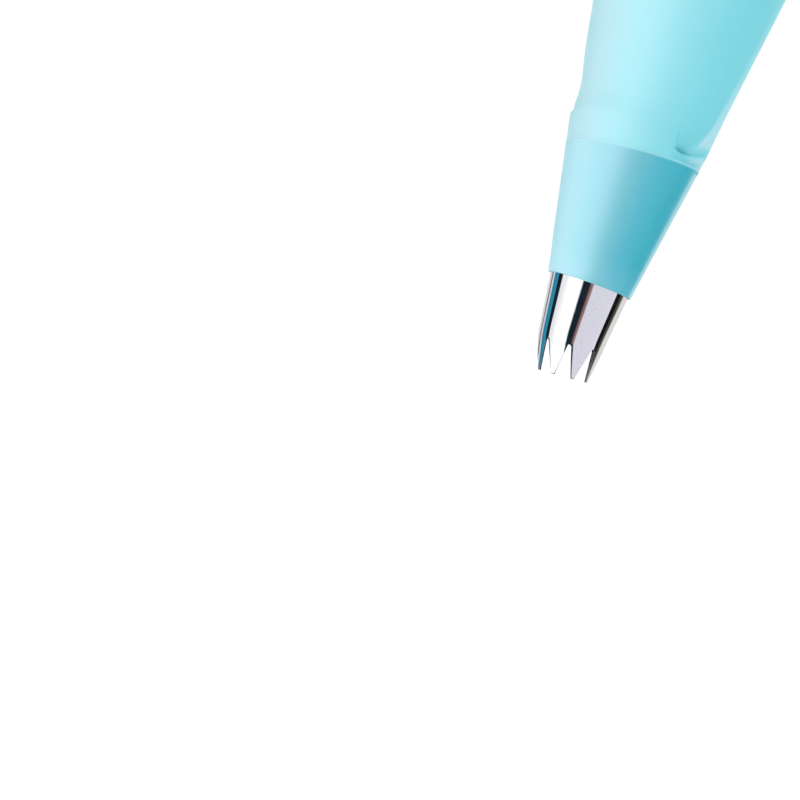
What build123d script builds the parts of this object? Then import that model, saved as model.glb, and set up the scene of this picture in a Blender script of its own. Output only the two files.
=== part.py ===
from build123d import *
import os

# Piping bag: a moulded silicone cone, open at both ends, with a sheet-steel star nozzle wedged in its cut
# tip. Z is the axis. The nozzle's tooth tips are at z = 0 and the bag's mouth faces up. Sizes are millimetres.

# ---- nozzle ----
TEETH = 8
SHEET = 0.4                 # steel thickness
TIP_R = 5.62                # outer radius over the tooth tips
ROOT_R, ROOT_Z = 6.8, 6.6   # where the notches between the teeth end
CUFF_R, CUFF_Z = 8.36, 18.9  # where the bag's cut edge crosses the steel
BASE_R, BASE_Z = 12.55, 47.0  # the wide end
ROLL_R, ROLL_INSET = 0.5, 0.1  # rolled bead round the wide end, and how far inside the edge it is centred
FLAT_SHARE = 0.957          # flat's distance from the axis, as a share of the cone's radius
FLATS_END_Z = 24.0          # above here the flats run out into the round cone
FLATS_OUT = 1.13            # the same share at the base, where the flats lie outside the cone
NOTCH_APEX_Z = 8.7          # where a notch's straight sides would meet
NOTCH_HALF_WIDTH = 1.85     # half of a notch's width at the tooth tips
NOTCH_ROUND = 0.55          # radius at a notch's end
PAST = 1.0                  # how far a cutting shape runs past what it cuts

# ---- bag ----
CUFF_GAP = 0.08             # between steel and silicone at the cut edge
CUFF_WALL = 0.4             # silicone stretched thin at the cut edge
ROLL_GAP = 0.12             # between the nozzle's bead and the silicone
ROLL_WALL = 0.6             # silicone over the nozzle's bead
LINE_R, LINE_PROUD = 0.35, 0.12  # the fine line that the bead presses through the silicone
SHOULDER_Z = 50.2           # the skin relaxes here, above the nozzle
SHOULDER_STEP, SHOULDER_DROP = 0.4, 0.8  # how far it steps in, and over what height
WALL = 0.7                  # silicone above the shoulder
BAG_SLOPE = 0.156           # radius gained per unit of height above the shoulder
MOUTH_Z = 324.0
BEAD_R = 1.2                # rounded bead round the mouth
TAB_W, TAB_T, TAB_RISE = 24.0, 2.0, 23.0  # hanging tab: width, thickness and height above the mouth
TAB_ROOT = 4.0              # how far the tab runs down into the mouth bead
HOLE_R = 5.0                # hole in the hanging tab


def star_cone(inset):
    """The nozzle's solid outline drawn in by the inset: a cone with its lower half pressed into flats."""
    with BuildPart() as cone:
        with BuildSketch(Plane.XZ):
            with BuildLine():
                Polyline(
                    (0, 0),
                    (TIP_R - inset, 0),
                    (ROOT_R - inset, ROOT_Z),
                    (CUFF_R - inset, CUFF_Z),
                    (BASE_R - inset, BASE_Z),
                    (0, BASE_Z),
                    close=True,
                )
            make_face()
        revolve(axis=Axis.Z)
        end_r = CUFF_R + (BASE_R - CUFF_R) * (FLATS_END_Z - CUFF_Z) / (BASE_Z - CUFF_Z)
        tip_slope = (ROOT_R - TIP_R) / ROOT_Z
        for z, radius, share in (
            (-PAST, TIP_R - tip_slope * PAST, FLAT_SHARE),
            (ROOT_Z, ROOT_R, FLAT_SHARE),
            (CUFF_Z, CUFF_R, FLAT_SHARE),
            (FLATS_END_Z, end_r, FLAT_SHARE),
            (BASE_Z + PAST, BASE_R, FLATS_OUT),
        ):
            with BuildSketch(Plane.XY.offset(z)):
                RegularPolygon(radius * share - inset, TEETH, major_radius=False)
        loft(ruled=True, mode=Mode.INTERSECT)
    return cone.part


# One notch between two teeth, cut along +X.
with BuildPart() as notch:
    with BuildSketch(Plane.YZ):
        flare = NOTCH_HALF_WIDTH * (NOTCH_APEX_Z + PAST) / NOTCH_APEX_Z
        with BuildLine():
            Polyline((-flare, -PAST), (0, NOTCH_APEX_Z), (flare, -PAST), close=True)
        make_face()
        fillet(vertices().sort_by(Axis.Y)[-1], radius=NOTCH_ROUND)
    extrude(amount=BASE_R)

outline = star_cone(0)
bore = star_cone(SHEET)

with BuildPart() as nozzle:
    add(outline)
    with BuildSketch(Plane.XZ):
        with Locations((BASE_R - ROLL_INSET, BASE_Z - ROLL_R)):
            Circle(ROLL_R)
    revolve(axis=Axis.Z)
    add(bore, mode=Mode.SUBTRACT)
    with PolarLocations(0, TEETH):
        add(notch.part, mode=Mode.SUBTRACT)
nozzle.part.label = "nozzle"

# The bag's skin, from the cut edge up to the mouth.
cuff_in = CUFF_R + CUFF_GAP
roll_in = BASE_R - ROLL_INSET + ROLL_R + ROLL_GAP
cuff_out = cuff_in + CUFF_WALL
roll_out = roll_in + ROLL_WALL
roll_z = BASE_Z - ROLL_R
cuff_slope = (roll_out - cuff_out) / (roll_z - CUFF_Z)
shoulder_out = roll_out + cuff_slope * (SHOULDER_Z - roll_z)
neck_z = SHOULDER_Z + SHOULDER_DROP
neck_out = shoulder_out - SHOULDER_STEP
mouth_out = neck_out + BAG_SLOPE * (MOUTH_Z - BEAD_R - neck_z)
tab_y = mouth_out + BEAD_R / 2
hole_z = MOUTH_Z + TAB_RISE - TAB_W / 2

with BuildPart() as bag:
    with BuildSketch(Plane.XZ):
        with BuildLine():
            Polyline(
                (cuff_in, CUFF_Z),
                (roll_in, roll_z),
                (neck_out - WALL, neck_z),
                (mouth_out - WALL, MOUTH_Z - BEAD_R),
                (mouth_out, MOUTH_Z - BEAD_R),
                (neck_out, neck_z),
                (shoulder_out, SHOULDER_Z),
                (cuff_out, CUFF_Z),
                close=True,
            )
        make_face()
        with Locations((roll_out - LINE_R + LINE_PROUD, roll_z)):
            Circle(LINE_R)
        with Locations((mouth_out - WALL / 2, MOUTH_Z - BEAD_R)):
            Circle(BEAD_R)
    revolve(axis=Axis.Z)
    # hanging tab: a rounded plate standing on the mouth bead, at the back
    with BuildSketch(Plane.XZ.offset(-tab_y)):
        with Locations((0, hole_z)):
            Circle(TAB_W / 2)
        with Locations((0, (MOUTH_Z - TAB_ROOT + hole_z) / 2)):
            Rectangle(TAB_W, hole_z - MOUTH_Z + TAB_ROOT)
        with Locations((0, hole_z)):
            Circle(HOLE_R, mode=Mode.SUBTRACT)
    extrude(amount=TAB_T)
bag.part.label = "bag"

os.makedirs("parts", exist_ok=True)
export_step(nozzle.part, "parts/nozzle.step")
export_step(bag.part, "parts/bag.step")

print("mouth radius", round(mouth_out, 2), "neck radius", round(neck_out, 2))
print("inner radius at the bead", round(roll_in, 2), "hole z", round(hole_z, 2), "tab y", round(tab_y, 2))
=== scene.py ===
import math

import bpy
import numpy as np
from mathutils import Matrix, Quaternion, Vector


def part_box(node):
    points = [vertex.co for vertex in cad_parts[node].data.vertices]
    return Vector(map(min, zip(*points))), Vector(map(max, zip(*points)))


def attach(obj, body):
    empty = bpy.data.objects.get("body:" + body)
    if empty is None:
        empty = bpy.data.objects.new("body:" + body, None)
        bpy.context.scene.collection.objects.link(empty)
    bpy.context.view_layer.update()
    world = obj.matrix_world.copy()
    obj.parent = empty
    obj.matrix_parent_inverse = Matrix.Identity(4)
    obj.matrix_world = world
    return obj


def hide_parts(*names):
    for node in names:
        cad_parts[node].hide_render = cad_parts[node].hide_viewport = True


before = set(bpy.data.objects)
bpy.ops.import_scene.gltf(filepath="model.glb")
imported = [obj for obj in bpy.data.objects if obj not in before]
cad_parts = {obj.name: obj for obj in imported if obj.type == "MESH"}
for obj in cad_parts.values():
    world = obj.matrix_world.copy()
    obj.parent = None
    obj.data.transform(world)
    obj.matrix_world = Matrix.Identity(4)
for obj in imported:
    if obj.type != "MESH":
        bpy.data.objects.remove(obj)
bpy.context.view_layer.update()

# A silicone piping bag with a star nozzle wedged in its tip. Meshes are worked out in millimetres, in the
# row frame (Z is the bag's axis, tooth tips at z = 0), and scaled to metres as they are made.
# Azimuths run from -Y, which faces the camera, towards +X.
bag_box = [corner * 1000 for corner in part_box("bag")]
nozzle_box = [corner * 1000 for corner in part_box("nozzle")]

# ---- nozzle, mm ----
TEETH = 8
SECTOR = 2 * math.pi / TEETH
SHEET = 0.4
NOZZLE_H = nozzle_box[1].z
CONE = ((0.0, 5.62), (6.6, 6.8), (18.9, 8.36), (NOZZLE_H, 12.55))  # height and outer radius
FLAT_SHARE = 0.957          # a flat's distance from the axis, as a share of the cone's radius
FLATS_FADE = (19.0, 34.0)   # the flats run out into the round cone between these heights
CORNERS = ((0.0, 0.6), (7.0, 1.0), (18.0, 1.36))  # height and half width of the corner between flats
PANEL_BOW = math.radians(6.0)  # a flat is a little bowed: its normal leans out this far at its sides
NOTCH_APEX_Z, NOTCH_HALF_WIDTH, NOTCH_ROUND = 8.7, 1.85, 0.55
TEETH_JOIN_Z = 9.0          # just above the notches: the rows are level from here up
LIP_EASE = 0.06             # how rounded the cut edge of the teeth is, as a share of the sheet
ROLL_R = 0.5
# how the star is bent: its tips are turned and pushed to the right, and it is cut off square by this slope
TEETH_TURN, TEETH_PUSH, TEETH_TILT = math.radians(-1.3), 0.6, 0.045
BEND_TOP, TILT_FADE = 8.5, (8.0, 16.0)
LEFT_TOOTH, TOOTH_TWIST = math.radians(-67.5), math.radians(5)

# ---- bag, mm ----
CUT_Z = bag_box[0].z
CUT_TILT = 0.25             # the cut isn't quite square to the axis
CUFF_OUT, CUFF_SLOPE = 8.70, 0.1800
CUFF_WALL, LINE_WALL = 0.32, 0.6
# the thin line where the nozzle's rolled rim presses through
LINE_Z, LINE_PROUD, LINE_WIDTH, LINE_TILT = 45.8, 0.10, 0.18, 0.85
# the step in above the line: its height, and how tall it is where it is soft and where it is crisp
SHOULDER_Z, STEP_SOFT, STEP_CRISP = 49.7, 5.5, 0.5
NECK_Z, NECK_OUT, BAG_SLOPE = 51.0, 13.91, 0.156
LEAN_X = 0.35               # the loose upper bag hangs this far to the right of the steel's axis
WALL = 0.7
TAB_RISE, TAB_ROOT = 23.0, 4.0
MOUTH_Z = bag_box[1].z - TAB_RISE
BEAD_R = 1.2
TAB_HALF_W, TAB_T, HOLE_R = 12.0, 2.0, 5.0
TAB_Y = bag_box[1].y - 0.25 - TAB_T / 2
RING_PROUD, RING_OUT, TAB_EDGE = 0.35, 3.0, 0.9  # the raised ring round the hole, and the rounded outer edge
SWAY, SWAY_FROM = 1.4, 230.0  # the mouth's height rises and falls this much; it starts from this height


# ---------------------------------------------------------------- helpers

def smooth(low, high, x):
    """0 below low, 1 above high, and an S-curve between."""
    t = np.clip((x - low) / (high - low), 0, 1)
    return t * t * (3 - 2 * t)


def bump(x, centre, width):
    """A bell of height 1."""
    return np.exp(-(((x - centre) / width) ** 2))


def turn_from(angle, centre):
    """Signed difference of two angles, between -pi and pi."""
    return (angle - centre + math.pi) % (2 * math.pi) - math.pi


def loop_mesh(name, points):
    """A closed skin from a grid of points in mm, rows by columns, that joins up with itself both ways."""
    rows, cols = points.shape[:2]
    corner = np.arange(rows * cols).reshape(rows, cols)
    right = np.roll(corner, -1, axis=1)
    below = np.roll(corner, -1, axis=0)
    faces = np.stack([corner, right, np.roll(right, -1, axis=0), below], axis=-1).reshape(-1, 4)
    mesh = bpy.data.meshes.new(name)
    mesh.from_pydata((points.reshape(-1, 3) / 1000).tolist(), [], faces.tolist())
    mesh.validate()
    mesh.polygons.foreach_set("use_smooth", [True] * len(mesh.polygons))
    piece = bpy.data.objects.new(name, mesh)
    bpy.context.scene.collection.objects.link(piece)
    return piece


def around(azimuth, radius, z):
    """Points at an azimuth, a radius and a height."""
    return np.stack(np.broadcast_arrays(radius * np.sin(azimuth), -radius * np.cos(azimuth), z), axis=-1)


# ---------------------------------------------------------------- node helpers

def new_material(name):
    material = bpy.data.materials.new(name)
    material.use_nodes = True
    return material, material.node_tree.nodes, material.node_tree.links


def add_noise(nodes, links, where, scale, detail=3.0):
    """Noise over the object's own space; scale is features per metre."""
    noise = nodes.new("ShaderNodeTexNoise")
    noise.inputs["Scale"].default_value = scale
    noise.inputs["Detail"].default_value = detail
    links.new(where, noise.inputs["Vector"])
    return noise


def add_range(nodes, links, value, low, high, from_low=0.3, from_high=0.7):
    stretch = nodes.new("ShaderNodeMapRange")
    stretch.inputs["From Min"].default_value = from_low
    stretch.inputs["From Max"].default_value = from_high
    stretch.inputs["To Min"].default_value = low
    stretch.inputs["To Max"].default_value = high
    links.new(value, stretch.inputs["Value"])
    return stretch.outputs[0]


def add_mix(nodes, links, share, low, high):
    """A colour between low and high; either may be plain numbers or another node's output."""
    mix = nodes.new("ShaderNodeMix")
    mix.data_type = "RGBA"
    links.new(share, mix.inputs["Factor"])
    for socket, colour in (("A", low), ("B", high)):
        if isinstance(colour, tuple):
            mix.inputs[socket].default_value = (*colour, 1)
        else:
            links.new(colour, mix.inputs[socket])
    return mix.outputs["Result"]


def add_bump(nodes, links, height, strength, distance, below=None):
    node = nodes.new("ShaderNodeBump")
    node.inputs["Strength"].default_value = strength
    node.inputs["Distance"].default_value = distance
    links.new(height, node.inputs["Height"])
    if below is not None:
        links.new(below, node.inputs["Normal"])
    return node.outputs[0]


def add_math(nodes, links, operation, *values):
    """A sum on its values in order; each may be a plain number or another node's output."""
    node = nodes.new("ShaderNodeMath")
    node.operation = operation
    for socket, value in zip(node.inputs, values):
        if isinstance(value, (int, float)):
            socket.default_value = value
        else:
            links.new(value, socket)
    return node.outputs[0]


def add_background(nodes, colour, strength=1.0):
    node = nodes.new("ShaderNodeBackground")
    node.inputs["Color"].default_value = (*colour, 1)
    node.inputs["Strength"].default_value = strength
    return node


def add_shader_mix(nodes, links, share, low, high):
    """One shader fading into another."""
    mix = nodes.new("ShaderNodeMixShader")
    links.new(share, mix.inputs[0])
    links.new(low, mix.inputs[1])
    links.new(high, mix.inputs[2])
    return mix.outputs[0]


# ---------------------------------------------------------------- camera and stage

def make_camera():
    """Level with the nozzle, and rolled so that the bag leans to the right and out of the picture's top."""
    place = Vector((-0.00899, -0.39984, -0.00651))
    aim = Vector((-0.02897, 0.0, -0.01474))
    roll = math.radians(18.06)
    data = bpy.data.cameras.new("camera")
    data.sensor_width = 36.0
    data.lens = 89.38
    camera = bpy.data.objects.new("camera", data)
    camera.location = place
    camera.rotation_mode = "QUATERNION"
    camera.rotation_quaternion = (aim - place).to_track_quat("-Z", "Y") @ Quaternion((0, 0, 1), roll)
    bpy.context.scene.collection.objects.link(camera)
    bpy.context.scene.camera = camera


def make_floor():
    """A plain pale floor that sweeps up behind the object. Nothing mirrors it and it casts no shadow."""
    half, depth, rise, bend, steps = 9.0, 1.6, 3.0, 0.8, 12
    floor_z = -0.07
    path = [(-half, floor_z), (depth - bend, floor_z)]
    for k in range(1, steps + 1):
        a = math.pi / 2 * k / steps
        path.append((depth - bend + bend * math.sin(a), floor_z + bend - bend * math.cos(a)))
    path.append((depth, floor_z + rise))
    verts = [(x, y, z) for y, z in path for x in (-half, half)]
    faces = [(2 * k, 2 * k + 1, 2 * k + 3, 2 * k + 2) for k in range(len(path) - 1)]
    mesh = bpy.data.meshes.new("floor")
    mesh.from_pydata(verts, [], faces)
    mesh.polygons.foreach_set("use_smooth", [True] * len(mesh.polygons))
    floor = bpy.data.objects.new("floor", mesh)
    bpy.context.scene.collection.objects.link(floor)
    material, nodes, links = new_material("studio_floor")
    shader = nodes["Principled BSDF"]
    shader.inputs["Base Color"].default_value = (0.97, 0.97, 0.97, 1)
    shader.inputs["Roughness"].default_value = 0.8
    mesh.materials.append(material)
    floor.visible_glossy = False
    floor.visible_shadow = False
    return floor


def make_light(name, place, aim, size, power, only_on=None, gloss=False):
    """A soft rectangular light that nothing mirrors, or with gloss one that gives nothing but a soft gloss.

    With only_on, the light falls on those pieces alone.
    """
    data = bpy.data.lights.new(name, "AREA")
    data.shape = "RECTANGLE"
    data.size, data.size_y = size
    data.energy = power
    light = bpy.data.objects.new(name, data)
    light.location = place
    light.rotation_mode = "QUATERNION"
    light.rotation_quaternion = (Vector(aim) - Vector(place)).to_track_quat("-Z", "Y")
    light.visible_camera = False
    light.visible_glossy = gloss
    bpy.context.scene.collection.objects.link(light)
    if gloss:
        light.visible_diffuse = False
        light.visible_transmission = False
        data.cycles.use_multiple_importance_sampling = False
    if only_on:
        lit = bpy.data.collections.new(name + "_lights")
        for piece in only_on:
            lit.objects.link(piece)
        light.light_linking.receiver_collection = lit


# The room that polished steel mirrors: azimuth in degrees and colour.
ROOM = (
    (-180, (0.70, 0.70, 0.72)),
    (-142, (0.80, 0.80, 0.82)),
    (-141, (0.11, 0.11, 0.12)),
    (-137, (0.16, 0.16, 0.17)),
    (-136, (0.80, 0.82, 0.85)),
    (-132, (0.75, 0.78, 0.81)),
    (-131, (0.006, 0.10, 0.17)),
    (-128, (0.020, 0.26, 0.40)),
    (-114, (0.035, 0.30, 0.43)),
    (-111, (0.004, 0.020, 0.045)),
    (-105, (0.004, 0.010, 0.020)),
    (-87, (0.008, 0.016, 0.020)),
    (-85, (0.88, 0.88, 0.90)),
    (-58, (0.98, 0.98, 1.00)),
    (-46, (1.40, 1.40, 1.40)),
    (-34, (1.40, 1.40, 1.40)),
    (-32, (0.004, 0.014, 0.024)),
    (-3, (0.010, 0.020, 0.034)),
    (0, (0.030, 0.010, 0.012)),
    (3, (0.18, 0.100, 0.095)),
    (15, (0.34, 0.205, 0.195)),
    (19, (0.78, 0.74, 0.78)),
    (24, (0.74, 0.73, 0.82)),
    (60, (0.76, 0.75, 0.84)),
    (88, (0.80, 0.80, 0.88)),
    (90, (0.003, 0.004, 0.004)),
    (116, (0.006, 0.007, 0.006)),
    (121, (0.05, 0.055, 0.042)),
    (131, (0.07, 0.075, 0.060)),
    (133, (0.80, 0.785, 0.74)),
    (150, (0.74, 0.73, 0.70)),
)


def make_world():
    """A pale surround for light, the striped room for whatever mirrors it, and a grey backdrop."""
    world = bpy.data.worlds.new("studio")
    bpy.context.scene.world = world
    world.use_nodes = True
    tree = world.node_tree
    nodes, links = tree.nodes, tree.links
    nodes.clear()
    where = nodes.new("ShaderNodeTexCoord")
    split = nodes.new("ShaderNodeSeparateXYZ")
    links.new(where.outputs["Generated"], split.inputs[0])
    toward = add_math(nodes, links, "MULTIPLY", split.outputs["Y"], -1)
    angle = add_math(nodes, links, "ARCTAN2", split.outputs["X"], toward)
    room = nodes.new("ShaderNodeValToRGB")
    room.color_ramp.elements.remove(room.color_ramp.elements[1])
    for k, (degrees, colour) in enumerate(ROOM):
        place = (degrees + 180) / 360
        stop = room.color_ramp.elements[0] if k == 0 else room.color_ramp.elements.new(place)
        stop.position = place
        stop.color = (*colour, 1)
    links.new(add_range(nodes, links, angle, 0, 1, -math.pi, math.pi), room.inputs[0])

    # low down and high up the room is plain and pale
    low = add_range(nodes, links, split.outputs["Z"], 0, 1, -0.80, -0.95)
    high = add_range(nodes, links, split.outputs["Z"], 0, 1, 0.45, 0.75)
    ends = add_math(nodes, links, "MAXIMUM", low, high)
    card = nodes.new("ShaderNodeBackground")
    links.new(add_mix(nodes, links, ends, room.outputs[0], (0.8, 0.8, 0.82)), card.inputs["Color"])

    pale = add_background(nodes, (0.97, 0.98, 1.0), 0.75)
    backdrop = add_background(nodes, (0.73, 0.735, 0.75))
    ray = nodes.new("ShaderNodeLightPath").outputs
    lit = add_shader_mix(nodes, links, ray["Is Glossy Ray"], pale.outputs[0], card.outputs[0])
    seen = add_shader_mix(nodes, links, ray["Is Camera Ray"], lit, backdrop.outputs[0])
    out = nodes.new("ShaderNodeOutputWorld")
    links.new(seen, out.inputs[0])


# ---------------------------------------------------------------- materials

def silicone_material():
    """Satin translucent cyan silicone: cloudy in depth, dusty on top, with painted shade where the steel
    lies behind it, and painted sheen, highlights and shade down the left side and at the fold.
    """
    material, nodes, links = new_material("cyan_silicone")
    where = nodes.new("ShaderNodeTexCoord").outputs["Object"]
    cloud = add_noise(nodes, links, where, 55, 4)
    grain = add_noise(nodes, links, where, 2600, 2)
    peel = add_noise(nodes, links, where, 420, 2)
    clouds = add_range(nodes, links, cloud.outputs["Fac"], 0, 1)

    # 0 where the steel lies behind the skin, 1 above the line that its rolled rim presses through; below the
    # line the colours are painted shade, darker where the steel behind keeps light from coming through
    split = nodes.new("ShaderNodeSeparateXYZ")
    links.new(where, split.inputs[0])
    slope = -LINE_TILT / NECK_OUT
    level = add_math(nodes, links, "MULTIPLY_ADD", split.outputs["X"], slope, split.outputs["Z"])
    free = add_range(nodes, links, level, 0, 1, (LINE_Z - 0.3) / 1000, (LINE_Z + 0.15) / 1000)

    def two_tone(backed, open_low, open_high):
        """A colour over steel, and a cloudy pair of colours above it."""
        cloudy = add_mix(nodes, links, clouds, open_low, open_high)
        return add_mix(nodes, links, free, backed, cloudy)

    relief = add_bump(nodes, links, peel.outputs["Fac"], 0.10, 0.0002)
    relief = add_bump(nodes, links, grain.outputs["Fac"], 0.12, 0.00005, relief)
    shader = nodes["Principled BSDF"]
    # the base colour over the steel is painted shade: a darker teal where the steel behind keeps light out
    tone = two_tone((0.010, 0.383, 0.490), (0.140, 0.585, 0.657), (0.155, 0.600, 0.672))
    for layer, colour in (
        # painted sheen down the left side, paler over the steel than above it
        ("painted_left_sheen", two_tone((0.30, 0.63, 0.70), (0.29, 0.520, 0.580), (0.30, 0.530, 0.590))),
        # painted highlights: streaks, rims, lips and sheen whitened as if lit
        ("pale", (0.44, 0.70, 0.76)),
        # painted shade in the crease, pit and hollow of the fold
        ("painted_shade", (0.045, 0.40, 0.48)),
    ):
        paint = nodes.new("ShaderNodeAttribute")
        paint.attribute_name = layer
        tone = add_mix(nodes, links, paint.outputs["Fac"], tone, colour)
    links.new(tone, shader.inputs["Base Color"])
    grit = add_range(nodes, links, grain.outputs["Fac"], -0.04, 0.04)
    dull = add_range(nodes, links, free, 0.45, 0.56, 0, 1)
    links.new(add_math(nodes, links, "ADD", grit, dull), shader.inputs["Roughness"])
    links.new(relief, shader.inputs["Normal"])
    shader.inputs["IOR"].default_value = 1.5
    shader.inputs["Specular IOR Level"].default_value = 1.0
    shader.inputs["Sheen Weight"].default_value = 0.3
    shader.inputs["Sheen Roughness"].default_value = 0.2
    shader.inputs["Sheen Tint"].default_value = (0.8, 0.97, 1.0, 1)

    through = nodes.new("ShaderNodeBsdfTranslucent")
    # the translucent colour over the steel is painted shade too
    links.new(two_tone((0.10, 0.45, 0.55), (0.34, 0.84, 0.92), (0.38, 0.86, 0.93)), through.inputs["Color"])
    links.new(relief, through.inputs["Normal"])
    share = add_range(nodes, links, free, 0.10, 0.12, 0, 1)
    surface = add_shader_mix(nodes, links, share, shader.outputs[0], through.outputs[0])
    links.new(surface, nodes["Material Output"].inputs["Surface"])
    return material


def steel_material():
    """Polished stainless steel with fine drawing lines along the cone and faint handling marks."""
    material, nodes, links = new_material("polished_steel")
    where = nodes.new("ShaderNodeTexCoord").outputs["Object"]
    stretch = nodes.new("ShaderNodeMapping")
    stretch.inputs["Scale"].default_value = (1, 1, 0.08)
    links.new(where, stretch.inputs["Vector"])
    lines = add_noise(nodes, links, stretch.outputs[0], 4200, 2)
    smear = add_noise(nodes, links, where, 130, 2)
    speck = add_noise(nodes, links, where, 5200, 1)

    shader = nodes["Principled BSDF"]
    specks = add_range(nodes, links, speck.outputs["Fac"], 0, 1)
    tone = add_mix(nodes, links, specks, (0.80, 0.80, 0.83), (0.95, 0.95, 0.96))
    links.new(tone, shader.inputs["Base Color"])
    shader.inputs["Metallic"].default_value = 1.0
    links.new(add_range(nodes, links, smear.outputs["Fac"], 0.05, 0.10), shader.inputs["Roughness"])
    relief = add_bump(nodes, links, lines.outputs["Fac"], 0.05, 0.00001)
    relief = add_bump(nodes, links, speck.outputs["Fac"], 0.04, 0.00001, relief)
    links.new(relief, shader.inputs["Normal"])
    return material


def cut_steel_material():
    """The punched edge of the sheet: duller and darker than its faces, with cross-grain."""
    material, nodes, links = new_material("cut_steel")
    where = nodes.new("ShaderNodeTexCoord").outputs["Object"]
    grain = add_noise(nodes, links, where, 6000, 2)
    shader = nodes["Principled BSDF"]
    grains = add_range(nodes, links, grain.outputs["Fac"], 0, 1)
    tone = add_mix(nodes, links, grains, (0.10, 0.10, 0.11), (0.20, 0.20, 0.22))
    links.new(tone, shader.inputs["Base Color"])
    shader.inputs["Metallic"].default_value = 1.0
    links.new(add_range(nodes, links, grain.outputs["Fac"], 0.45, 0.60), shader.inputs["Roughness"])
    links.new(add_bump(nodes, links, grain.outputs["Fac"], 0.2, 0.00002), shader.inputs["Normal"])
    return material


# ---------------------------------------------------------------- nozzle

def read_profile(profile, z):
    """The value of a profile of (height, value) pairs at a height."""
    return np.interp(z, [p[0] for p in profile], [p[1] for p in profile])


def cone_radius(z):
    return read_profile(CONE, z)


def from_notch(azimuth):
    """Angle from the nearest corner between flats, which is also the middle of the nearest notch."""
    return np.abs(turn_from(azimuth, np.round(azimuth / SECTOR) * SECTOR))


def nozzle_radius(azimuth, z):
    """Outer radius of the pressed cone: round above, eight bowed flats with rounded corners below."""
    radius = cone_radius(z)
    from_flat = SECTOR / 2 - from_notch(azimuth)
    apothem = radius * FLAT_SHARE
    # across the flat, measured from its middle: a shallow parabola, then an arc that turns the corner
    corner = read_profile(CORNERS, z)
    lean, half = math.tan(PANEL_BOW), math.tan(SECTOR / 2)
    edge = (apothem - corner * half / 2) * half / (1 + lean * half / 2) - corner
    turn = (half - lean) / corner
    across = apothem * np.tan(from_flat)
    for _ in range(8):
        past = np.maximum(across - edge, 0)
        flat_fall = across**2 * lean / (2 * edge)
        corner_fall = edge * lean / 2 + past * lean + past**2 * turn / 2
        fall = np.where(across < edge, flat_fall, corner_fall)
        across = (apothem - fall) * np.tan(from_flat)
    pressed = (apothem - fall) / np.cos(from_flat)
    fade = smooth(*FLATS_FADE, z)
    return pressed * (1 - fade) + radius * fade


def notch_floor(azimuth):
    """How high each notch reaches at an azimuth: 0 on a tooth tip, the notch's rounded end at its middle."""
    across = from_notch(azimuth)
    half_angle = math.atan(NOTCH_HALF_WIDTH / NOTCH_APEX_Z)
    centre_z = NOTCH_APEX_Z - NOTCH_ROUND / math.sin(half_angle)
    touch = NOTCH_ROUND * math.cos(half_angle)
    floor = np.zeros_like(across)
    for _ in range(12):
        reach = np.sin(across) * cone_radius(floor)
        straight = NOTCH_APEX_Z - reach / math.tan(half_angle)
        round_end = centre_z + np.sqrt(np.maximum(NOTCH_ROUND**2 - reach**2, 0))
        floor = np.maximum(np.where(reach < touch, round_end, straight), 0.0)
    return floor


def bend_teeth(points):
    """The star is cut a little off square, and use has pushed its thin teeth to one side."""
    x, y, z = (points[..., k].copy() for k in range(3))
    share = np.clip(1 - z / BEND_TOP, 0, 1) ** 1.5
    # the left front tooth is twisted about its own middle
    middle = around(LEFT_TOOTH, FLAT_SHARE * cone_radius(z), z)
    twist = TOOTH_TWIST * share * (np.abs(turn_from(np.arctan2(x, -y), LEFT_TOOTH)) < SECTOR / 2)
    x, y = x - middle[..., 0], y - middle[..., 1]
    x, y = (x * np.cos(twist) - y * np.sin(twist) + middle[..., 0],
            x * np.sin(twist) + y * np.cos(twist) + middle[..., 1])
    angle = TEETH_TURN * share
    points[..., 0] = x * np.cos(angle) - y * np.sin(angle) + TEETH_PUSH * share
    points[..., 1] = x * np.sin(angle) + y * np.cos(angle)
    points[..., 2] = z + TEETH_TILT * x * (1 - smooth(*TILT_FADE, z))
    return points


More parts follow.
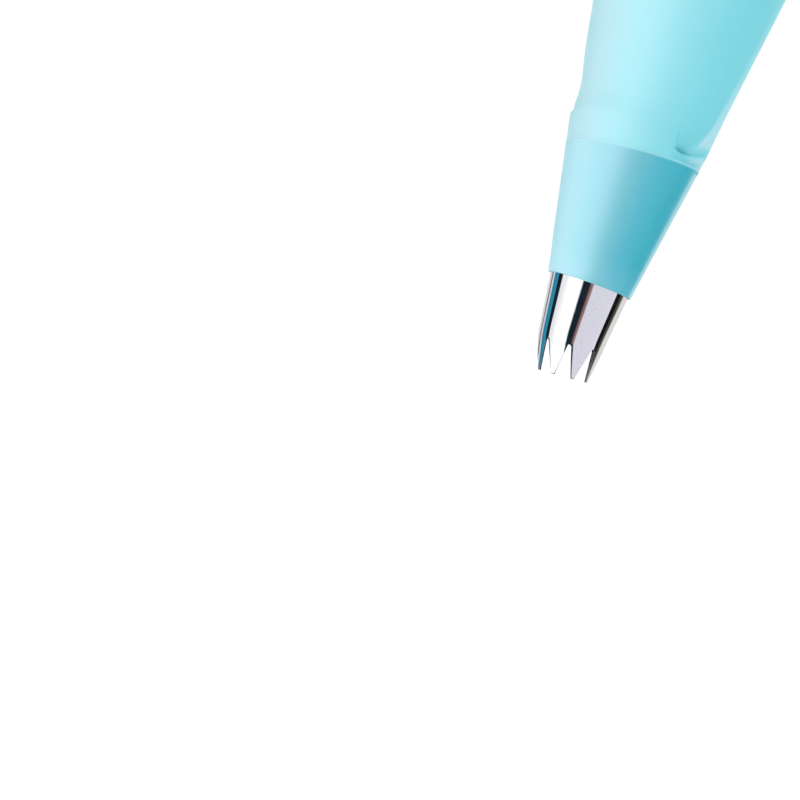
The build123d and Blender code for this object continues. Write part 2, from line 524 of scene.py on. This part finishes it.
def make_nozzle():
    """Sheet-steel shell: teeth below, pressed flats, then a round cone that ends in a rolled bead."""
    tip_half = math.asin(NOTCH_HALF_WIDTH / CONE[0][1])
    per_sector = np.unique(np.concatenate([
        np.linspace(0, 0.1, 9),
        np.linspace(0.1, tip_half, 16),
        np.linspace(tip_half, SECTOR / 2, 4),
    ]))
    sector = np.concatenate([-per_sector[:0:-1], per_sector])[:-1]
    azimuth = np.concatenate([sector + k * SECTOR for k in range(TEETH)])
    floor = notch_floor(azimuth)

    share = np.concatenate([np.linspace(0, 0.1, 3), np.linspace(0.1, 1, 12)[1:]])
    low = floor[None, :] + share[:, None] * (TEETH_JOIN_Z - floor[None, :])
    high = np.concatenate([
        np.linspace(TEETH_JOIN_Z, CONE[2][0], 12)[1:],
        np.linspace(CONE[2][0], FLATS_FADE[1], 24)[1:],
        np.linspace(FLATS_FADE[1], NOZZLE_H - 2 * ROLL_R, 12)[1:],
    ])
    z = np.concatenate([low, np.repeat(high[:, None], len(azimuth), axis=1)])
    outer = nozzle_radius(azimuth[None, :], z)
    skin_out = around(azimuth[None, :], outer, z)

    # rolled bead: out, over the top and back down inside
    base = cone_radius(NOZZLE_H - ROLL_R) - SHEET / 4
    turn = np.radians(np.linspace(-75, 150, 16))
    roll = np.stack([around(azimuth, base + ROLL_R * math.cos(a), NOZZLE_H - ROLL_R + ROLL_R * math.sin(a))
                     for a in turn])
    skin_in = around(azimuth[None, :], outer - SHEET, z)[::-1]
    # ease the cut edge at the teeth: the two skins draw together over the last of the sheet's thickness
    lip_mid = (skin_out[0] + skin_in[-1]) / 2
    start = skin_out[0] + (lip_mid - skin_out[0]) * LIP_EASE * 2
    end = skin_in[-1] + (lip_mid - skin_in[-1]) * LIP_EASE * 2
    points = bend_teeth(np.concatenate([skin_out, roll, skin_in, end[None], start[None]]))
    piece = loop_mesh("star_nozzle", points)
    piece.data.materials.append(steel_material())
    piece.data.materials.append(cut_steel_material())
    cols = len(azimuth)
    cut_row = len(points) - 2
    for face in piece.data.polygons:
        if face.index // cols == cut_row:
            face.material_index = 1
    mark_sharp(piece, 38)
    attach(piece, "nozzle")
    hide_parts("nozzle")


def mark_sharp(piece, degrees):
    """Keeps crisp edges in a smooth-shaded skin."""
    bpy.context.view_layer.objects.active = piece
    for other in bpy.context.selected_objects:
        other.select_set(False)
    piece.select_set(True)
    bpy.ops.object.shade_smooth_by_angle(angle=math.radians(degrees))


# ---------------------------------------------------------------- bag

LEFT_LEDGE = math.radians(-92)
# the fold on the right runs between these azimuths; its deepest spot is at PIT, and the shoulder dips at DIP
FOLD_FROM, FOLD_TO = math.radians(31), math.radians(76)
PIT = math.radians(40)
DIP, DIP_WIDTH, DIP_DEPTH = math.radians(42), math.radians(24), 1.6
CREASE_FOOT_Z = 52.0        # the crease is strongest up to this height
RIGHT_SIDE = (1.7, 2.1)     # what is painted on the right side fades out between these azimuths
HOLLOW_DEPTH, HOLLOW_FADE = 0.60, 2.6

LOOSE = (80, 330)           # the skin hangs freer and freer between these heights
# hand-sized dents in the upper skin: azimuth in degrees, height, depth, width in radians, reach up and down
DENTS = (
    (-55, 155, 2.6, 0.55, 30),
    (75, 205, 3.4, 0.50, 40),
    (170, 165, 2.6, 0.60, 36),
    (10, 255, 3.0, 0.45, 34),
    (-120, 235, 2.8, 0.50, 38),
)


def shoulder_at(azimuth):
    """Height of the step in above the steel: more on the left, less where the skin folds on the right."""
    dip = bump(turn_from(azimuth, DIP), 0, DIP_WIDTH)
    return SHOULDER_Z + 0.8 * np.maximum(0, -np.sin(azimuth)) - DIP_DEPTH * dip


def crease_at(z):
    """Azimuth of the soft crease that climbs from the fold and dies out up the right side."""
    return np.radians(52 + 18 * (1 - np.exp(-np.maximum(z - 49.5, 0) / 9)))


def fold_share(azimuth):
    """1 along the fold on the right, fading at its ends."""
    ease = math.radians(5)
    left = smooth(FOLD_FROM - ease, FOLD_FROM + ease, azimuth)
    return left * (1 - smooth(FOLD_TO - ease, FOLD_TO + ease, azimuth))


def hollow(azimuth, z):
    """The dent above the fold: deepest in its lower left corner, closed off on the right by the crease."""
    above = z - shoulder_at(azimuth)
    left = FOLD_FROM + np.radians(1.0) * np.maximum(above, 0)
    sides = smooth(left - 0.10, left + 0.18, azimuth)
    sides = sides * (1 - smooth(crease_at(z) - 0.12, crease_at(z), azimuth))
    return sides * smooth(0, 0.5, above) * np.exp(-np.maximum(above, 0) / HOLLOW_FADE)


def ridge_under(azimuth, z):
    """The rounded lip of skin just under the fold."""
    ridge_z = 47.0 + 1.3 * smooth(FOLD_FROM, FOLD_TO, azimuth)
    return fold_share(azimuth) * bump(z, ridge_z, 0.45)


def line_at(azimuth):
    """Height of the line where the rolled rim presses through."""
    return LINE_Z + LINE_TILT * np.sin(azimuth)


def line_share(azimuth):
    """How sharply the rolled rim presses through: less on the left, where the skin is moulded thicker."""
    return 1 - 0.6 * bump(turn_from(azimuth, math.radians(-75)), 0, 0.9)


def bag_radius(azimuth, z):
    """Outer radius of the silicone: stretched over the steel below, relaxed and softly dented above."""
    cuff = CUFF_OUT + CUFF_SLOPE * (z - CUT_Z)
    relaxed = NECK_OUT + BAG_SLOPE * (z - NECK_Z)
    shoulder_z = shoulder_at(azimuth)
    fold = fold_share(azimuth)
    crisp = np.clip(bump(turn_from(azimuth, LEFT_LEDGE), 0, 0.55) + fold, 0, 1)
    step = smooth(shoulder_z, shoulder_z + STEP_SOFT - (STEP_SOFT - STEP_CRISP) * crisp, z)
    radius = cuff * (1 - step) + relaxed * step
    radius = radius + LINE_PROUD * line_share(azimuth) * bump(z, line_at(azimuth), LINE_WIDTH)
    radius = radius - 0.05 * smooth(line_at(azimuth), line_at(azimuth) + 0.6, z)
    # the skin bulges a little just above the step
    radius = radius + 0.18 * bump(z, 54.0, 3.0)

    # the fold: a groove along the foot of the step, with the hollow over it and a rounded lip under it
    above = z - shoulder_z
    radius = radius - 0.22 * fold * bump(above, 0.2, 0.30)
    radius = radius - HOLLOW_DEPTH * hollow(azimuth, z) + 0.12 * ridge_under(azimuth, z)
    pit = bump(turn_from(azimuth, PIT), 0, 0.09) * bump(above, 0.5, 0.6)
    radius = radius - 0.14 * pit
    crease = bump(azimuth, crease_at(z), 0.10) * np.exp(-np.maximum(z - CREASE_FOOT_Z, 0) / 16)
    radius = radius + 0.22 * crease * smooth(0.2, 1.5, above)
    # a shallow hollow in the outline above the left ledge
    radius = radius - 0.35 * bump(turn_from(azimuth, LEFT_LEDGE), 0, 0.8) * bump(z, 57.0, 4.5)
    return radius


def painted_highlight_share(azimuth, z):
    """Painted highlights: where the skin is painted whiter to stand in for light, as a mix of seven soft
    places.
    """
    above = z - shoulder_at(azimuth)
    right = 1 - smooth(*RIGHT_SIDE, azimuth)
    # painted highlights: a streak beyond the crease, and the shelf of skin between the pressed line and the
    # fold
    streak = smooth(crease_at(z) - 0.03, crease_at(z) + 0.04, azimuth) * right
    streak = streak * smooth(0.8, 3.0, above) * np.exp(-np.maximum(z - CREASE_FOOT_Z, 0) / 13)
    shelf = smooth(0.0, 0.4, z - line_at(azimuth)) * (1 - smooth(-0.4, 0.1, above))
    shelf = shelf * smooth(math.radians(58), math.radians(70), azimuth) * right
    # painted highlights on the pressed line itself, on the rim up the right side of the tip, and on the lip
    # under the fold
    line = line_share(azimuth) * bump(z, line_at(azimuth) + 0.08, 0.16)
    right_rim_highlight = smooth(math.radians(62), math.radians(74), azimuth) * right
    right_rim_highlight = right_rim_highlight * (1 - smooth(LINE_Z, LINE_Z + 0.5, z))
    lip = ridge_under(azimuth, z) * smooth(math.radians(44), math.radians(56), azimuth)
    # painted sheen on the loose skin's left, and painted light towards the cut end, which is thinner and
    # lets light in
    upper_left_sheen = smooth(LINE_Z, LINE_Z + 1.0, z) * bump(turn_from(azimuth, math.radians(-60)), 0, 1.0)
    end = 1 - smooth(CUT_Z, CUT_Z + 7, z)
    share = 0.70 * streak + 0.8 * lip + 0.45 * shelf + 0.6 * right_rim_highlight + 0.30 * line + 0.12 * upper_left_sheen + 0.12 * end
    return np.clip(share, 0, 1)


def painted_left_sheen_share(azimuth):
    """Painted sheen down the left side, standing in for soft light from the left."""
    return 0.7 * smooth(-0.1, 1.1, -azimuth) * (1 - smooth(1.9, 2.9, -azimuth))


def painted_shade_share(azimuth, z):
    """Painted shade where the skin folds against itself: darker in the crease, the pit, the hollow and under
    the fold.
    """
    above = z - shoulder_at(azimuth)
    crease = fold_share(azimuth) * bump(above, 0.2, 0.24) * (1 - 0.9 * smooth(0.84, 1.0, azimuth))
    pit = bump(turn_from(azimuth, PIT), 0, 0.12) * bump(above, 0.6, 0.7)
    under = fold_share(azimuth) * smooth(0, 0.6, z - line_at(azimuth)) * (1 - smooth(-0.8, -0.2, above))
    return np.clip(0.45 * crease + 0.2 * pit + 0.4 * hollow(azimuth, z) + 0.3 * under, 0, 1)


def paint_light_and_shade(piece):
    """Stores the painted left sheen, the painted highlights and the painted shade as shares on the skin's
    points, for its material.
    """
    place = np.empty(len(piece.data.vertices) * 3)
    piece.data.vertices.foreach_get("co", place)
    x, y, z = place.reshape(-1, 3).T * 1000
    azimuth = np.arctan2(x, -y)
    for name, share in (
        ("painted_left_sheen", painted_left_sheen_share(azimuth)),
        ("pale", painted_highlight_share(azimuth, z)),
        ("painted_shade", painted_shade_share(azimuth, z)),
    ):
        layer = piece.data.attributes.new(name, "FLOAT", "POINT")
        layer.data.foreach_set("value", share.astype(np.float32))


def drape(azimuth, z):
    """How far the soft upper skin stands in or out: an easy oval, slow waves and a few hand-sized dents."""
    loose = smooth(*LOOSE, z) ** 1.3
    wave = 3.4 * np.cos(2 * turn_from(azimuth, 0.35)) + 1.9 * np.cos(3 * azimuth + 1.1 + z / 140)
    wave = wave + 1.0 * np.cos(5 * azimuth - z / 60)
    shape = loose * wave
    for degrees, high, depth, wide, tall in DENTS:
        side = bump(turn_from(azimuth, math.radians(degrees)), 0, wide)
        shape = shape - depth * side * bump(z, high, tall)
    return shape


def wall_at(z):
    """Thickness of the silicone: stretched thin over the steel, a little thicker towards the mouth."""
    return np.interp(z, [CUT_Z, LINE_Z, NECK_Z, MOUTH_Z], [CUFF_WALL, LINE_WALL, WALL, WALL + 0.1])


def sway_at(azimuth, z):
    """How much higher or lower than level the soft mouth hangs."""
    return SWAY * np.cos(2 * turn_from(azimuth, 0.9)) * smooth(SWAY_FROM, MOUTH_Z, z)


def bag_heights():
    """Row heights, close together where the skin has fine detail."""
    below_bead = MOUTH_Z - 2.2 * BEAD_R
    stretches = (
        (CUT_Z + 0.12, 44.5, 1.1),
        (44.5, 54.0, 0.12),
        (54.0, 64.0, 0.5),
        (64.0, 100.0, 1.5),
        (100.0, below_bead, 3.0),
    )
    rows = []
    for low, high, step in stretches:
        rows.extend(np.linspace(low, high, max(2, round((high - low) / step)), endpoint=False))
    rows.append(below_bead)
    return np.array(rows)


def make_bag_skin():
    """The wall as one loop of rows: up the outside, over the mouth bead, down the inside, round the cut."""
    azimuth = np.linspace(-math.pi, math.pi, 384, endpoint=False)
    heights = bag_heights()
    stations = [(0.0, z) for z in heights]
    middle = wall_at(MOUTH_Z) / 2
    for a in np.radians(np.linspace(-62, 242, 24)):
        stations.append((middle - BEAD_R * math.cos(a), MOUTH_Z - BEAD_R + BEAD_R * math.sin(a)))
    stations.extend((wall_at(z), z) for z in heights[::-1])
    wall = wall_at(CUT_Z)
    stations.extend([(wall - 0.03, CUT_Z + 0.03), (wall - 0.1, CUT_Z), (0.1, CUT_Z), (0.03, CUT_Z + 0.03)])
    depth = np.array([s[0] for s in stations])[:, None]
    z = np.array([s[1] for s in stations])[:, None]
    azimuth, z = azimuth[None, :], np.broadcast_to(z, (len(stations), len(azimuth)))
    radius = bag_radius(azimuth, z) + drape(azimuth, z) - depth
    tilt = -CUT_TILT * np.sin(azimuth) * (1 - smooth(CUT_Z, CUT_Z + 8, z))
    points = around(azimuth, radius, z + tilt + sway_at(azimuth, z))
    points[..., 0] += LEAN_X * smooth(50.5, 56.0, z)
    return loop_mesh("bag_skin", points)


def tab_outline(direction, centre_z):
    """Distance from the hole's middle to the tab's edge: round above, flaring into the mouth bead below."""
    reach = np.full_like(direction, TAB_HALF_W)
    root_z = MOUTH_Z - TAB_ROOT
    for k, a in enumerate(direction):
        if math.cos(a) >= 0:
            continue
        for r in np.arange(TAB_HALF_W, 40, 0.05):
            x, z = abs(r * math.sin(a)), centre_z + r * math.cos(a)
            flare = 5.5 * max(0.0, (centre_z - 3 - z) / (centre_z - 3 - root_z)) ** 2
            if x > TAB_HALF_W + flare or z < root_z:
                break
        reach[k] = r
    return reach


def make_tab():
    """The hanging tab: a rounded plate with a hole in a raised ring, moulded with the mouth bead."""
    centre_z = bag_box[1].z - TAB_HALF_W
    direction = np.linspace(0, 2 * math.pi, 160, endpoint=False)
    edge = tab_outline(direction, centre_z)
    half, inner = TAB_T / 2, HOLE_R + RING_OUT
    # from the hole to the edge along one face: distance from the hole's middle, share of the way from the
    # ring to the edge (none on the ring), and half the thickness there
    face = []
    for a in np.radians(np.linspace(180, 90, 6)):
        face.append((HOLE_R + 0.7 + 0.7 * math.cos(a), None, (half + RING_PROUD) * math.sin(a)))
    face.append((HOLE_R + 1.6, None, half + RING_PROUD))
    face.append((HOLE_R + 2.3, None, half + 0.1))
    face.extend([(inner, None, half), (inner, 0.5, half), (inner, 0.8, half)])
    for a in np.radians(np.linspace(90, 0, 7)):
        face.append((inner - TAB_EDGE + TAB_EDGE * math.cos(a), 1.0, half * math.sin(a)))
    other_face = [(r, s, -h) for r, s, h in face[-2:0:-1]]
    rows = []
    for r, s, h in face + other_face:
        reach = np.full_like(direction, r) if s is None else r + (edge - inner) * s
        x, z = reach * np.sin(direction), centre_z + reach * np.cos(direction)
        rows.append(np.stack([x, np.full_like(x, h), z], axis=-1))
    points = np.stack(rows)
    # follow the draped wall: lean, and curve with the mouth
    at = np.arctan2(points[..., 0], TAB_Y)
    out = drape(math.pi - at, np.minimum(points[..., 2], MOUTH_Z))
    sway = sway_at(math.pi - at, points[..., 2])
    lean = -points[..., 0] ** 2 / (2 * TAB_Y) * smooth(MOUTH_Z + 16, MOUTH_Z - 4, points[..., 2])
    points[..., 0] += LEAN_X
    points[..., 1] += TAB_Y + out + lean
    points[..., 2] += sway
    return loop_mesh("bag_tab", points)


def make_bag():
    skin, tab = make_bag_skin(), make_tab()
    join = skin.modifiers.new("tab", "BOOLEAN")
    join.operation = "UNION"
    join.solver = "EXACT"
    join.object = tab
    bpy.context.view_layer.objects.active = skin
    bpy.ops.object.modifier_apply(modifier="tab")
    bpy.data.objects.remove(tab)
    skin.data.materials.clear()
    skin.data.materials.append(silicone_material())
    paint_light_and_shade(skin)
    mark_sharp(skin, 50)
    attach(skin, "bag")
    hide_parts("bag")
    return skin


bpy.context.scene.view_settings.view_transform = "Standard"
make_camera()
make_world()
floor = make_floor()
make_nozzle()
bag = make_bag()
make_light("front", (0.25, -1.2, 0.4), (0, 0, 0.1), (1.0, 0.5), 4.4)
make_light("left", (-1.1, -0.1, 0.1), (0, 0, 0.05), (0.6, 0.9), 3.5, [bag])
make_light("back", (0.6, 0.6, 0.45), (0, 0, 0.1), (0.7, 0.6), 4.2)
make_light("top", (0.1, -0.1, 1.3), (0, 0, 0.1), (1.2, 1.2), 6)
make_light("over_floor", (0, 0, 2.5), (0, 0, 0), (4.0, 4.0), 10, [floor])
# soft boxes round the bag's front, left and back put a broad white sheen on its silicone alone
for degrees, power in ((14, 4), (-26, 15), (-66, 11), (-106, 9.5), (-146, 2)):
    side = math.radians(degrees)
    place = (math.sin(side), -math.cos(side), -0.1)
    make_light(f"wash_{degrees + 180}", place, (0, 0, 0.03), (0.72, 1.4), power, [bag], gloss=True)
